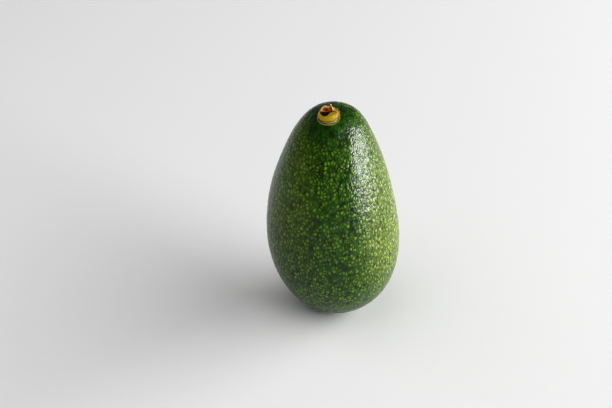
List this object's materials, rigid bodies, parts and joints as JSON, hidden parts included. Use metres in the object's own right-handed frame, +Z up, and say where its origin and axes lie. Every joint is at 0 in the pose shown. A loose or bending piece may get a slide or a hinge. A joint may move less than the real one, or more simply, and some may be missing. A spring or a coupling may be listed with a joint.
{
  "type": "avocado",
  "caption": "Whole pear-shaped avocado with glossy green, pale-dotted skin and a torn stem button, standing on the small flat spot at its blossom end.",
  "frame": {"origin": "under the middle of the part's bounding box to within 0.3 mm, on the surface that the blossom-end flat spot rests on; the flat spot's own middle is 1.7 mm to the right of it", "axes": "+Z up from the flat spot to the stem end, along the fruit; -Y is the front, the side that the stem seat leans to; +X is right"},
  "size_m": [0.0682, 0.068, 0.1205],
  "materials": {
    "avocado_skin": "waxy, glossy deep green fruit skin with pale yellow-green dots and a fine pebbled relief",
    "stem_bark": "yellow-olive stem bark, smooth on the side, torn and dark brown in the hollow on top"
  },
  "bodies": {
    "root": {"fruit_body": "avocado_skin", "stem_button": "stem_bark"}
  },
  "joints": []
}
